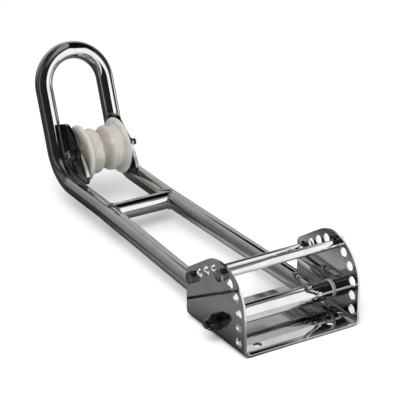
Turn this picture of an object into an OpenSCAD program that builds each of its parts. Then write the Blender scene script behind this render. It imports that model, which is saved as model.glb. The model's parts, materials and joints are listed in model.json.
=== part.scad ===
// Adjustable bow roller: a bent tube frame with a hoop and a nylon roller, hinged in a bolted deck bracket.
// +X points outboard, +Y to port, +Z up. The origin is the middle of the bracket's underside.

/* [Bracket] */
// Overall width of the bracket, over both cheeks
bracket_w = 148; // [140:1:160]
// Length of the bracket, fore and aft
bracket_l = 117; // [116:0.5:120]
// Thickness of the bracket plate
plate_t = 3; // [2.5:0.5:4]
// Inside radius of the two folds
fold_r = 6; // [4:0.5:7]
// Height at which the sloping edge of a cheek would reach the outboard edge
cheek_front_h = 59.5; // [58:0.5:62]
// Slope of the upper edge of a cheek, in degrees
cheek_slope = 32.5; // [31:0.5:34]
// Radius of the rounded corner at the outboard end of a cheek
cheek_nose_r = 8; // [4:0.5:12]
// Diameter of the adjusting holes
adjust_hole_d = 11; // [10.5:0.25:11.5]
// Number of adjusting holes in a cheek
adjust_count = 10; // [10:1:10]
// Distance between the centres of neighbouring adjusting holes
adjust_pitch = 16.75; // [16.5:0.05:16.9]
// Distance from the hole centres to the edge of a cheek
adjust_margin = 11.3; // [10.5:0.1:12]
// Radius of the curved stretch in the row of adjusting holes
adjust_arc_r = 38; // [37:0.25:39]
// Distance of the first adjusting hole from the outboard edge
adjust_start = 13.1; // [12.5:0.1:14]
// Diameter of the deck bolt holes
deck_hole_d = 9; // [7:0.5:10]
// Fore and aft distance between the deck bolt holes
deck_hole_x = 84; // [80:1:88]
// Distance between the deck bolt holes across the bracket
deck_hole_y = 94; // [90:1:98]

/* [Hinge] */
// Distance of the hinge axis inboard of the middle of the bracket
hinge_back = 4.6; // [2:0.2:7]
// Height of the hinge axis above the underside of the bracket
hinge_h = 21.9; // [20:0.1:24]
// Diameter of the hinge bolt
hinge_bolt_d = 10; // [8:1:10]
// Radial running clearance of the hinge bushes and of the roller
run_gap = 0.08; // [0.02:0.01:0.1]
// Angle of the frame above level as it stands
frame_tilt = 1.1; // [0:0.1:5]

/* [Tube frame] */
// Outside diameter of the frame tube
tube_d = 22; // [21.5:0.1:22.5]
// Wall thickness of the frame tube
tube_wall = 2; // [1.5:0.25:2.5]
// Distance between the arm centre lines at the hinge
arm_spread = 105.4; // [100:0.2:108]
// Distance between the arm centre lines outboard of the kink
arm_spacing = 85.2; // [84.6:0.2:86]
// Distance from the hinge axis to the kink in the arms
kink_at = 310; // [308:1:320]
// Distance from the hinge axis to the crossbar
crossbar_at = 294.7; // [200:0.1:296]
// Distance from the hinge axis to the corner where the legs turn up
corner_at = 421.4; // [418:0.2:425]
// Angle between the arms and the legs of the hoop
leg_angle = 69.5; // [68:0.5:71]
// Centre line radius of the bend from arm to leg
leg_bend_r = 50; // [46:0.5:54]
// Distance from that corner to the centre of the hoop
leg_l = 111.3; // [100:0.1:140]

/* [Roller] */
// Distance of the roller axis from the hinge axis, along the arms
roller_at = 397.6; // [396:0.2:399]
// Height of the roller axis above the arm centre lines
roller_up = 37.4; // [36.8:0.1:39]
// Diameter over the end flanges of the roller
roller_d = 70.8; // [66:0.2:71]
// Diameter over the two wide inner ridges of the roller
roller_ridge_d = 56.8; // [52:0.2:58]
// Diameter at the bottom of the middle groove
roller_groove_d = 46; // [40:0.5:50]
// Width of the roller
roller_w = 56; // [54:0.5:58]
// Distance from the middle of the roller at which the ridges reach their full height
ridge_at = 10; // [8:0.5:12]
// Distance from the middle of the roller at which the ridges end and the flanges begin
flange_at = 21; // [19:0.5:22]
// Diameter of the sleeve that the roller turns on
axle_sleeve_d = 12; // [11:0.5:14]
// Thickness of the plates that hold the roller
roller_plate_t = 5; // [4:0.5:5]
// Gap between the roller plates
roller_plate_gap = 64; // [63.8:0.1:64.4]
// How far a roller plate reaches inboard of the roller axis, along the arm
plate_foot = 32; // [30:0.5:36]
// How far a roller plate reaches up the leg
plate_leg_l = 59; // [57:0.5:62]

/* [Stop rods] */
// Diameter of the tubes on the stop bolts, between the cheeks
stop_tube_d = 10; // [9.5:0.1:12]
// How far the stop bolts hang below the centres of their holes
stop_drop = 1.4; // [0:0.1:1.4]
// Which adjusting hole holds the outboard rod, counted from the outboard end
outboard_hole = 1; // [1:1:1]
// Which adjusting hole holds the upper rod, counted from the outboard end
upper_hole = 5; // [4:1:7]

/* [Hidden] */
$fn = 96;

// Gaps
touch_gap = 0.05;
thread_gap = 0.05;
flange_gap = 0.2;
thrust_gap = 0.1;
cut_extra = 5;
cut_lap = 1;
washer_play = 0.4;
stud_play = 0.5;
hinge_play = 0.6;
sleeve_play = 0.3;
rod_play = 0.2;

// Bracket
inner_w = bracket_w - 2 * plate_t;
fold_out_r = fold_r + plate_t;
cheek_crown_r = adjust_arc_r + adjust_margin;
cheek_peak_h = cheek_front_h + bracket_l * tan(cheek_slope);
hinge_x = -hinge_back;

// Row of adjusting holes: a sloping line, an arc and a vertical line, in distances from the outboard edge
arc_centre = [
    bracket_l - cheek_crown_r,
    cheek_front_h + (bracket_l - cheek_crown_r) * tan(cheek_slope) - cheek_crown_r / cos(cheek_slope)
];
arc_turn = 90 + cheek_slope;
arc_start = arc_centre + adjust_arc_r * [-sin(cheek_slope), cos(cheek_slope)];
line_run = (arc_start[0] - adjust_start) / cos(cheek_slope);
arc_run = adjust_arc_r * arc_turn * PI / 180;

// Frame
tube_r = tube_d / 2;
bore_r = tube_r - tube_wall;
arm_y = arm_spacing / 2;
splay = atan((arm_spread / 2 - arm_y) / kink_at);
kink_r = 150;
kink_run = kink_r * tan(splay / 2);
kink_end = kink_at + kink_run;
splayed_l = kink_at / cos(splay) - kink_run;
bend_run = leg_bend_r * tan(leg_angle / 2);
bend_start = corner_at - bend_run;
straight_leg_l = leg_l - bend_run;
bend_lap = 0.5;
bend_extra = 0.15;
bush_flange_t = 2;
bush_l = 18;
hinge_tube_l = inner_w - 2 * bush_flange_t - 2 * flange_gap;

// Roller and its axle
plate_y = roller_plate_gap / 2;
plate_outer_y = plate_y + roller_plate_t;
stud_l = 101;
thrust_d = 24;
rim_round = 3;
ridge_fall = 0.4;
wave_steps = 12;

// Metric sizes: thread, width across flats, head height, nut height, washer diameter and thickness
M8 = [8, 13, 5.3, 8, 16, 1.6];
M10 = [hinge_bolt_d, 17, 6.4, 10, 20, 2];
stop_bolt_l = 155;
plain_nut_h = 6.5;
pivot_bolt_l = 165;
bolt_tip = 0.8;

// Self-locking nuts: shares of nut height and of width across flats, and the lip over the nylon ring
nut_hex_share = 0.68;
collar_share = 0.44;
pocket_share = 0.37;
lip_t = 0.8;
lip_play = 0.7;
insert_t = 2.2;

// Hexagons: the flat top is this share of the width across flats
hex_top_share = 0.94;

// Free corners of a roller plate, from the roller axis along the arm and above it, with their radii
plate_back = [-plate_foot - 4, -18];
plate_shoulder = [-16.6, 11.6];
plate_peak = [18.4, 34.6];
plate_back_r = 10;
plate_shoulder_r = 40;
plate_peak_r = 12;

// Points of an arc about centre, from angle a0 to a1
function arc(centre, r, a0, a1, steps) =
    [for (i = [0:steps]) let (a = a0 + (a1 - a0) * i / steps) centre + r * [cos(a), sin(a)]];

function unit(v) = v / norm(v);

// Fillet of radius r at corner p, coming from a and going on to b
function fillet(a, p, b, r, steps = 24) =
    let (u = unit(a - p), v = unit(b - p), half = acos(u * v) / 2)
    let (centre = p + unit(u + v) * r / sin(half), t0 = p + u * r / tan(half), t1 = p + v * r / tan(half))
    let (a0 = atan2(t0[1] - centre[1], t0[0] - centre[0]), a1 = atan2(t1[1] - centre[1], t1[0] - centre[0]))
    let (turn = a1 - a0 > 180 ? a1 - a0 - 360 : a1 - a0 < -180 ? a1 - a0 + 360 : a1 - a0)
    arc(centre, r, a0, a0 + turn, steps);

// Outline through corners, each with its own radius; a radius of 0 keeps the corner sharp
function rounded(corners, radii) = [
    for (i = [0:len(corners) - 1])
        let (n = len(corners), a = corners[(i + n - 1) % n], b = corners[(i + 1) % n])
        each radii[i] == 0 ? [corners[i]] : fillet(a, corners[i], b, radii[i])
];

// Centre of adjusting hole n, counted from 1, as distance from the outboard edge and height
function adjust_hole(n) =
    let (run = (n - 1) * adjust_pitch, past = run - line_run, a = arc_turn - past / adjust_arc_r * 180 / PI)
    past < 0 ? arc_start + past * [cos(cheek_slope), sin(cheek_slope)]
    : a > 0 ? arc_centre + adjust_arc_r * [cos(a), sin(a)]
    : arc_centre + [adjust_arc_r, arc_run - past];

// Puts children on the axis of adjusting hole n, with +Z turned to +Y
module at_hole(n) {
    p = adjust_hole(n);
    translate([bracket_l / 2 - p[0], 0, p[1]])
        rotate([-90, 0, 0])
            children();
}

// Puts children on the hinge axis, with +Z turned to +Y
module at_hinge() {
    translate([hinge_x, 0, hinge_h])
        rotate([-90, 0, 0])
            children();
}

// Frame coordinates: the origin on the hinge axis, +X along the arms
module in_frame() {
    translate([hinge_x, 0, hinge_h])
        rotate([0, -frame_tilt, 0])
            children();
}

// Puts children on the roller axis, with +Z turned to +Y
module at_axle() {
    in_frame()
        translate([roller_at, 0, roller_up])
            rotate([-90, 0, 0])
                children();
}

// Children, and their mirror image on the starboard side
module both_sides() {
    children();
    mirror([0, 1, 0])
        children();
}

// Children on the port end of a part along +Z, and turned over on its other end
module both_ends() {
    children();
    mirror([0, 0, 1])
        children();
}

// Hexagon with its upper corners chamfered
module hex_block(af, h) {
    corner_r = af / 2 / cos(30);
    top_r = af / 2 * hex_top_share;
    past_r = corner_r + cut_lap;
    intersection() {
        cylinder(r = corner_r, h = h, $fn = 6);
        rotate_extrude()
            polygon([
                [0, -cut_lap],
                [past_r, -cut_lap],
                [past_r, h - (past_r - top_r) * tan(30)],
                [top_r, h],
                [0, h]
            ]);
    }
}

// Plain washer lying on z = 0
module washer(size) {
    difference() {
        cylinder(d = size[4], h = size[5]);
        translate([0, 0, -cut_lap])
            cylinder(d = size[0] + washer_play, h = size[5] + 2 * cut_lap);
    }
}

// Hexagon bolt with the underside of its head on z = 0 and its shank pointing to -Z
module hex_bolt(size, length) {
    hex_block(size[1], size[2]);
    translate([0, 0, -length])
        cylinder(d = size[0], h = length);
    translate([0, 0, -length - bolt_tip])
        cylinder(d1 = size[0] - 2 * bolt_tip, d2 = size[0], h = bolt_tip);
}

// Plain nut standing on z = 0
module plain_nut(size) {
    difference() {
        hex_block(size[1], plain_nut_h);
        translate([0, 0, -cut_lap])
            cylinder(d = size[0] + 2 * thread_gap, h = plain_nut_h + 2 * cut_lap);
    }
}

// Self-locking nut standing on z = 0, with the pocket for its insert
module lock_nut(size) {
    hex_h = size[3] * nut_hex_share;
    collar_r = size[1] * collar_share;
    collar_h = size[3] - hex_h + cut_lap;
    difference() {
        union() {
            hex_block(size[1], hex_h);
            translate([0, 0, hex_h - cut_lap])
                rotate_extrude()
                    polygon([
                        [0, 0],
                        [collar_r, 0],
                        [collar_r, collar_h - 1],
                        [collar_r - 1, collar_h],
                        [0, collar_h]
                    ]);
        }
        translate([0, 0, -cut_lap])
            cylinder(d = size[0] + 2 * thread_gap, h = size[3] + 2 * cut_lap);
        translate([0, 0, size[3] - lip_t - insert_t - touch_gap])
            cylinder(r = size[1] * pocket_share, h = insert_t + touch_gap);
        translate([0, 0, size[3] - lip_t - touch_gap])
            cylinder(r = size[0] / 2 + lip_play, h = lip_t + cut_lap);
    }
}

// Nylon ring in the pocket of a self-locking nut
module lock_insert(size) {
    translate([0, 0, size[3] - lip_t - insert_t])
        difference() {
            cylinder(r = size[1] * pocket_share - touch_gap, h = insert_t - touch_gap);
            translate([0, 0, -cut_lap])
                cylinder(d = size[0] + 2 * thread_gap, h = insert_t + 2 * cut_lap);
        }
}

// Puts children at p, with +Z turned towards q
module along(p, q) {
    v = q - p;
    translate(p)
        rotate([0, acos(v[2] / norm(v)), atan2(v[1], v[0])])
            children();
}

// Straight tube of length l along +X, its ends lapped into the slightly fuller bends
module tube(l) {
    rotate([90, 0, 90])
        translate([0, 0, -bend_lap])
            linear_extrude(l + 2 * bend_lap)
                difference() {
                    circle(tube_r);
                    circle(bore_r);
                }
}

// Tube bent about +Z: it starts on the -Y axis, heading along +X
module bend(r, turn) {
    rotate([0, 0, -90])
        rotate_extrude(angle = turn)
            translate([r, 0])
                difference() {
                    circle(tube_r + bend_extra);
                    circle(bore_r - bend_extra);
                }
}

// Port arm and leg of the frame, in frame coordinates
module arm_and_leg() {
    translate([kink_end, arm_y, 0])
        tube(bend_start - kink_end);
    translate([kink_end, arm_y + kink_r, 0])
        mirror([1, 0, 0]) {
            bend(kink_r, splay);
            rotate([0, 0, splay])
                translate([0, -kink_r, 0])
                    tube(splayed_l);
        }
    translate([bend_start, arm_y, leg_bend_r])
        rotate([90, 0, 0]) {
            bend(leg_bend_r, leg_angle);
            rotate([0, 0, leg_angle])
                translate([0, -leg_bend_r, 0])
                    tube(straight_leg_l);
        }
}

// Half ring that joins the legs at the top, in frame coordinates
module hoop() {
    translate([bend_start, 0, leg_bend_r])
        rotate([90, 0, 0])
            rotate([0, 0, leg_angle])
                translate([straight_leg_l, -leg_bend_r, 0])
                    rotate([90, 0, 0])
                        bend(arm_y, 180);
}

// Plate welded into the corner between arm and leg on the port side, square edged where it meets the tube
module roller_plate() {
    weld_e = sqrt(pow(tube_r + bend_extra, 2) - pow(arm_y - plate_outer_y, 2)) + touch_gap;
    leg_foot = [corner_at - weld_e * tan(leg_angle / 2), weld_e];
    leg_dir = [cos(leg_angle), sin(leg_angle)];
    axle = [roller_at, roller_up];
    outline = rounded(
        [
            [roller_at - plate_foot, weld_e],
            axle + plate_back,
            axle + plate_shoulder,
            axle + plate_peak,
            leg_foot + plate_leg_l * leg_dir,
            leg_foot
        ],
        [0, plate_back_r, plate_shoulder_r, plate_peak_r, 0, leg_bend_r - weld_e]
    );
    in_frame()
        translate([0, plate_outer_y, 0])
            rotate([90, 0, 0])
                linear_extrude(roller_plate_t)
                    difference() {
                        polygon(outline);
                        translate(axle)
                            circle(d = M8[0] + stud_play);
                    }
}

// Flanged plain bush for the port end of the hinge tube, along +Z
module flanged_bush() {
    translate([0, 0, hinge_tube_l / 2 - bush_l])
        difference() {
            union() {
                cylinder(r = bore_r - touch_gap, h = bush_l);
                translate([0, 0, bush_l])
                    cylinder(r = tube_r, h = bush_flange_t);
            }
            translate([0, 0, -cut_lap])
                cylinder(r = hinge_bolt_d / 2 + run_gap, h = bush_l + bush_flange_t + 2 * cut_lap);
        }
}

// Puts children on the axis of the stop bolt in adjusting hole n, with +Z turned to +Y
module at_stop(n) {
    translate([0, 0, -stop_drop])
        at_hole(n)
            children();
}

// Tube that covers a stop bolt between the cheeks
module stop_tube() {
    difference() {
        cylinder(d = stop_tube_d, h = inner_w - 2 * touch_gap, center = true);
        cylinder(d = M8[0] + rod_play, h = inner_w + cut_extra, center = true);
    }
}

// Bolt through both cheeks, with its head on the port side
module stop_bolt() {
    translate([0, 0, bracket_w / 2])
        hex_bolt(M8, stop_bolt_l);
}

// Radius of the roller at distance y from its middle: smooth waves between ridges and grooves
function wave(y, y0, y1, r0, r1) = r0 + (r1 - r0) * (1 - cos((y - y0) / (y1 - y0) * 180)) / 2;
roller_knots = [
    [0, roller_groove_d / 2],
    [ridge_at, roller_ridge_d / 2],
    [flange_at, roller_ridge_d / 2 - ridge_fall],
    [roller_w / 2 - rim_round, roller_d / 2]
];
roller_curve = [
    for (k = [0:len(roller_knots) - 2], i = [0:wave_steps - 1])
        let (a = roller_knots[k], b = roller_knots[k + 1], y = a[0] + (b[0] - a[0]) * i / wave_steps)
        [wave(y, a[0], b[0], a[1], b[1]), y]
];
roller_half = concat(
    roller_curve,
    arc([roller_d / 2 - rim_round, roller_w / 2 - rim_round], rim_round, 0, 90, 10)
);

module base_bracket() {
    outline = rounded(
        [
            [0, -cut_extra],
            [0, cheek_front_h],
            [-bracket_l, cheek_peak_h],
            [-bracket_l, -cut_extra]
        ],
        [0, cheek_nose_r, cheek_crown_r, 0]
    );
    blank_l = bracket_l + 2 * cut_extra;
    color("lightslategray")
        difference() {
            intersection() {
                union() {
                    translate([-blank_l / 2, fold_out_r - bracket_w / 2, 0])
                        cube([blank_l, bracket_w - 2 * fold_out_r, plate_t]);
                    both_sides() {
                        translate([-blank_l / 2, bracket_w / 2 - plate_t, fold_out_r])
                            cube([blank_l, plate_t, cheek_peak_h]);
                        translate([-blank_l / 2, bracket_w / 2 - fold_out_r, fold_out_r])
                            rotate([90, 0, 90])
                                rotate([0, 0, -90])
                                    rotate_extrude(angle = 90)
                                        translate([fold_r, 0])
                                            square([plate_t, blank_l]);
                    }
                }
                translate([bracket_l / 2, bracket_w, 0])
                    rotate([90, 0, 0])
                        linear_extrude(2 * bracket_w)
                            polygon(outline);
            }
            for (n = [1:adjust_count])
                at_hole(n)
                    cylinder(d = adjust_hole_d, h = 2 * bracket_w, center = true);
            at_hinge()
                cylinder(d = hinge_bolt_d + hinge_play, h = 2 * bracket_w, center = true);
            for (x = [-1, 1], y = [-1, 1])
                translate([x * deck_hole_x / 2, y * deck_hole_y / 2, -cut_lap])
                    cylinder(d = deck_hole_d, h = plate_t + 2 * cut_lap);
        }
}

module outboard_stop_tube() {
    color("silver")
        at_stop(outboard_hole)
            stop_tube();
}

module upper_stop_tube() {
    color("silver")
        at_stop(upper_hole)
            stop_tube();
}

module outboard_stop_bolt() {
    color("dimgray")
        at_stop(outboard_hole)
            stop_bolt();
}

module upper_stop_bolt() {
    color("dimgray")
        at_stop(upper_hole)
            stop_bolt();
}

module stop_nuts() {
    color("dimgray")
        for (n = [outboard_hole, upper_hole])
            at_stop(n)
                mirror([0, 0, 1])
                    translate([0, 0, bracket_w / 2])
                        plain_nut(M8);
}

module pivot_bolt() {
    color("dimgray")
        at_hinge()
            mirror([0, 0, 1])
                translate([0, 0, bracket_w / 2 + M10[5]])
                    hex_bolt(M10, pivot_bolt_l);
}

module pivot_washers() {
    color("gray")
        at_hinge()
            both_ends()
                translate([0, 0, bracket_w / 2])
                    washer(M10);
}

module pivot_nut() {
    color("dimgray")
        at_hinge()
            translate([0, 0, bracket_w / 2 + M10[5]])
                lock_nut(M10);
}

module pivot_nut_insert() {
    color("ivory")
        at_hinge()
            translate([0, 0, bracket_w / 2 + M10[5]])
                lock_insert(M10);
}

module frame_tube() {
    color("darkgray")
        in_frame()
            difference() {
                union() {
                    both_sides()
                        arm_and_leg();
                    hoop();
                }
                rotate([90, 0, 0])
                    cylinder(r = tube_r + touch_gap, h = inner_w, center = true);
            }
}

module crossbar() {
    color("darkgray")
        in_frame()
            difference() {
                translate([crossbar_at, 0, 0])
                    rotate([90, 0, 0])
                        difference() {
                            cylinder(r = tube_r, h = arm_spacing, center = true);
                            cylinder(r = bore_r, h = arm_spacing + cut_extra, center = true);
                        }
                both_sides()
                    along([0, arm_spread / 2, 0], [kink_at, arm_y, 0])
                        cylinder(r = tube_r + touch_gap, h = kink_at);
            }
}

module hinge_tube() {
    color("lightgray")
        in_frame()
            rotate([90, 0, 0])
                difference() {
                    cylinder(r = tube_r, h = hinge_tube_l, center = true);
                    cylinder(r = bore_r, h = hinge_tube_l + cut_extra, center = true);
                }
}

module port_hinge_bush() {
    color("ivory")
        at_hinge()
            flanged_bush();
}

module starboard_hinge_bush() {
    color("ivory")
        at_hinge()
            mirror([0, 0, 1])
                flanged_bush();
}

module port_roller_plate() {
    color("gray")
        roller_plate();
}

module starboard_roller_plate() {
    color("gray")
        mirror([0, 1, 0])
            roller_plate();
}

module axle_stud() {
    color("silver")
        at_axle()
            translate([0, 0, -stud_l / 2])
                cylinder(d = M8[0], h = stud_l);
}

module axle_sleeve() {
    color("silver")
        at_axle()
            difference() {
                cylinder(d = axle_sleeve_d, h = roller_plate_gap, center = true);
                cylinder(d = M8[0] + sleeve_play, h = roller_plate_gap + cut_extra, center = true);
            }
}

module thrust_washers() {
    washer_t = plate_y - roller_w / 2 - thrust_gap;
    color("ivory")
        at_axle()
            both_ends()
                translate([0, 0, plate_y - washer_t])
                    difference() {
                        cylinder(d = thrust_d, h = washer_t);
                        translate([0, 0, -cut_lap])
                            cylinder(d = axle_sleeve_d + sleeve_play, h = washer_t + 2 * cut_lap);
                    }
}

module axle_washers() {
    color("gray")
        at_axle()
            both_ends()
                translate([0, 0, plate_outer_y])
                    washer(M8);
}

module axle_nuts() {
    color("silver")
        at_axle()
            both_ends()
                translate([0, 0, plate_outer_y + M8[5]])
                    lock_nut(M8);
}

module axle_nut_inserts() {
    color("ivory")
        at_axle()
            both_ends()
                translate([0, 0, plate_outer_y + M8[5]])
                    lock_insert(M8);
}

module roller() {
    bore = axle_sleeve_d / 2 + run_gap;
    far_half = [for (i = [len(roller_half) - 1:-1:1]) [roller_half[i][0], -roller_half[i][1]]];
    section = concat([[bore, -roller_w / 2]], far_half, roller_half, [[bore, roller_w / 2]]);
    color("antiquewhite")
        at_axle()
            rotate_extrude()
                polygon(section);
}

base_bracket();
outboard_stop_tube();
upper_stop_tube();
outboard_stop_bolt();
upper_stop_bolt();
stop_nuts();
pivot_bolt();
pivot_washers();
pivot_nut();
pivot_nut_insert();
frame_tube();
crossbar();
hinge_tube();
port_hinge_bush();
starboard_hinge_bush();
port_roller_plate();
starboard_roller_plate();
axle_stud();
axle_sleeve();
thrust_washers();
axle_washers();
axle_nuts();
axle_nut_inserts();
roller();
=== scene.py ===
import json
import math

import bmesh
import bpy
from mathutils import Matrix, Vector
from mathutils.geometry import tessellate_polygon


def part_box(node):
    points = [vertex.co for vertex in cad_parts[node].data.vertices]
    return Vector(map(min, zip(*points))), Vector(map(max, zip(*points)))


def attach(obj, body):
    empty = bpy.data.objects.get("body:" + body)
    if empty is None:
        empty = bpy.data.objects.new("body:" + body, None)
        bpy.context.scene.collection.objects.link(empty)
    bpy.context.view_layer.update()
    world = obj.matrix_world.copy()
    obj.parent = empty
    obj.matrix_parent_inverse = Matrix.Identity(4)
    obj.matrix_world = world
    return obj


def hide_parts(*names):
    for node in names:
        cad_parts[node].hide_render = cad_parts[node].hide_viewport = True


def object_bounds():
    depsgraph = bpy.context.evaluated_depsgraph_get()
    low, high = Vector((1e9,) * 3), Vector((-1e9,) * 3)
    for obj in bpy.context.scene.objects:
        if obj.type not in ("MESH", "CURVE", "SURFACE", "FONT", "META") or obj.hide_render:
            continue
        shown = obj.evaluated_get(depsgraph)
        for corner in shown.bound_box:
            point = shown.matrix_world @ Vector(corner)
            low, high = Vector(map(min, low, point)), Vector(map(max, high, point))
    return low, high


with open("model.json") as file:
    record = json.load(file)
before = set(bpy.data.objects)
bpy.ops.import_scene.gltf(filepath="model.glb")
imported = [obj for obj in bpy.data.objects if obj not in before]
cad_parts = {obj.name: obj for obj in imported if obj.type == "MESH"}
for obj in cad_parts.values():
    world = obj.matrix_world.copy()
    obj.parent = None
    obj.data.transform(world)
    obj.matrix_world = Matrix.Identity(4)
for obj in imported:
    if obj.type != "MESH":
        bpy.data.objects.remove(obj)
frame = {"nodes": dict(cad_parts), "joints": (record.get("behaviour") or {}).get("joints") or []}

# Bow roller: a bent tube frame with a hoop and a nylon roller, hinged in a bolted deck bracket.
# Shapes are built in millimetres and placed in the row frame in metres: +X outboard, +Y port, +Z up.

cad_low, cad_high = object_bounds()
MM = 0.001
ROW = Matrix.Scale(MM, 4)
TO_PORT = Matrix.Rotation(math.radians(-90), 4, "X")
TO_STARBOARD = Matrix.Rotation(math.radians(90), 4, "X")


def joint_place(name):
    """A joint's place in millimetres."""
    found = next(j for j in frame["joints"] if j["name"] == name)
    return Vector(found["pos_m"]) / MM


def box_mm(node):
    """A CAD node's lowest and highest corners in millimetres."""
    low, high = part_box(node)
    return low / MM, high / MM


# Places and sizes taken from the frame
HINGE = joint_place("frame_tilt")
AXLE = joint_place("roller_spin")
BRACKET_LOW, BRACKET_HIGH = box_mm("base_bracket")
ROLLER_LOW, ROLLER_HIGH = box_mm("roller")
HINGE_TUBE_HALF = box_mm("hinge_tube")[1].y

# Bracket
BRACKET_L = BRACKET_HIGH.x - BRACKET_LOW.x
BRACKET_W = BRACKET_HIGH.y - BRACKET_LOW.y
PLATE_T = 3
FOLD_R = 6
CHEEK_FRONT_H = 59.5
CHEEK_SLOPE = math.radians(32.5)
CHEEK_NOSE_R = 8
ADJUST_HOLE_R = 5.5
ADJUST_COUNT = 10
ADJUST_PITCH = 16.75
ADJUST_MARGIN = 11.3
ADJUST_ARC_R = 38
ADJUST_START = 13.1
DECK_HOLE_R = 4.5
DECK_HOLE_X = 42
DECK_HOLE_Y = 47
PIVOT_HOLE_R = 5.3
EDGE_ROUND = 0.45

# Frame
FRAME_TILT = math.radians(1.1)
TUBE_R = 11
TUBE_BORE_R = 9
ARM_SPREAD = 52.7
ARM_Y = 42.6
KINK_AT = 310
KINK_R = 150
CROSSBAR_AT = 294.7
CORNER_AT = 421.4
LEG_ANGLE = math.radians(69.5)
LEG_BEND_R = 50
LEG_L = 111.3
ROLLER_AT = 397.6
ROLLER_UP = 37.4
PLATE_INNER_Y = 32
PLATE_OUTER_Y = 37
PLATE_FOOT = 32
PLATE_LEG_L = 59
# Corners of a roller plate, from the axle, and the radii of all its corners from the inboard foot round
PLATE_BACK = Vector((-36, -18))
PLATE_SHOULDER = Vector((-16.6, 11.6))
PLATE_PEAK = Vector((18.4, 34.6))
PLATE_END_R = 0.6
PLATE_BACK_R = 10
PLATE_SHOULDER_R = 40
PLATE_PEAK_R = 12
PLATE_HOLE_PLAY = 0.25

# Roller
ROLLER_GROOVE_R = 23
ROLLER_RIDGE_R = 28.4
ROLLER_RIDGE_AT = 10
ROLLER_RIDGE_FALL = 0.4
ROLLER_FLANGE_AT = 21
ROLLER_RIM_R = (ROLLER_HIGH.z - ROLLER_LOW.z) / 2
ROLLER_HALF_W = (ROLLER_HIGH.y - ROLLER_LOW.y) / 2
RIM_ROUND = 3
WAVE_STEPS = 16
ROLLER_BORE_R = 6.1
BORE_CHAMFER = 0.8
RECESS_RIM = 7
RECESS_SLOPE = 0.6
RECESS_DEPTH = 0.5
RECESS_CORE_R = 15

# Stop rods and fasteners: thread radius, half the width across flats, head, nut, washer radius and thickness
STOP_DROP = 1.4
STOP_TUBE_R = 5
OUTBOARD_HOLE = 1
UPPER_HOLE = 5
M8 = dict(r=4, flat=6.5, head=5.3, nut=8, washer_r=8, washer_t=1.6, pitch=1.25)
M10 = dict(r=5, flat=8.5, head=6.4, nut=10, washer_r=10, washer_t=2, pitch=1.5)
STOP_BOLT_L = 155
STOP_THREAD_L = 20
PIVOT_BOLT_L = 165
PIVOT_THREAD_L = 28
STUD_L = 101
STUD_THREAD_L = 18
STUD_TIP = 0.7
BOLT_TIP = 0.8
PLAIN_NUT_H = 6.5
THREAD_PLAY = 0.05
WASHER_PLAY = 0.2
STOP_TUBE_PLAY = 0.1
TOUCH_GAP = 0.05
# Flat tops of hexagons, as a share of the width across flats
HEX_TOP_SHARE = 0.94
# Self-locking nuts: shares of the height and of the width across flats, then the room for the nylon ring
NUT_HEX_SHARE = 0.68
COLLAR_SHARE = 0.88
POCKET_SHARE = 0.74
LIP_T = 0.9
POCKET_DEPTH = 3.1

# Weld beads
WELD_R = 1.5
WELD_RIPPLE = 2.2
WELD_OUT = 0.4
WELD_SPREAD = 1.01
SADDLE_STEPS = 220

FRAME = Matrix.Translation(HINGE) @ Matrix.Rotation(-FRAME_TILT, 4, "Y")


# ---------------------------------------------------------------- outlines

def arc(centre, radius, start, end, steps):
    """Points of an arc about centre, angles in radians."""
    turns = [start + (end - start) * i / steps for i in range(steps + 1)]
    return [centre + radius * Vector((math.cos(a), math.sin(a))) for a in turns]


def fillet(before, corner, after, radius, steps=12):
    """Points that round a corner with a circle of that radius."""
    u = (before - corner).normalized()
    v = (after - corner).normalized()
    half = math.acos(max(-1, min(1, u.dot(v)))) / 2
    centre = corner + (u + v).normalized() * radius / math.sin(half)
    first = corner + u * radius / math.tan(half) - centre
    last = corner + v * radius / math.tan(half) - centre
    start = math.atan2(first.y, first.x)
    turn = math.atan2(last.y, last.x) - start
    turn = (turn + math.pi) % (2 * math.pi) - math.pi
    return arc(centre, radius, start, start + turn, steps)


def rounded(corners, radii, steps=12):
    """Closed outline through corners, each with its own radius; 0 keeps the corner sharp."""
    points = []
    for i, (corner, radius) in enumerate(zip(corners, radii)):
        corner = Vector(corner)
        if radius:
            before = Vector(corners[i - 1])
            after = Vector(corners[(i + 1) % len(corners)])
            points += fillet(before, corner, after, radius, steps)
        else:
            points.append(corner)
    return points


def soften(corners, radius=0.3, steps=3):
    """Open lathe profile with its inner corners slightly rounded."""
    points = [Vector(corners[0])]
    for before, corner, after in zip(corners, corners[1:], corners[2:]):
        before, corner, after = Vector(before), Vector(corner), Vector(after)
        reach = min((before - corner).length, (after - corner).length)
        bend = (before - corner).angle(after - corner)
        fits = min(radius, 0.45 * reach * math.tan(bend / 2))
        if bend > math.radians(176) or fits < 0.02:
            points.append(corner)
        else:
            points += fillet(before, corner, after, fits, steps)
    return points + [Vector(corners[-1])]


def ring_profile(inner, outer, low, high, radius):
    """Closed lathe profile of a plain ring with rounded edges."""
    corners = [(inner, low), (outer, low), (outer, high), (inner, high), (inner, low)]
    return soften(corners, radius)[:-1]


def circle(centre, radius, steps):
    return arc(Vector(centre), radius, 0, 2 * math.pi * (steps - 1) / steps, steps - 1)


# ---------------------------------------------------------------- meshes

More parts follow.
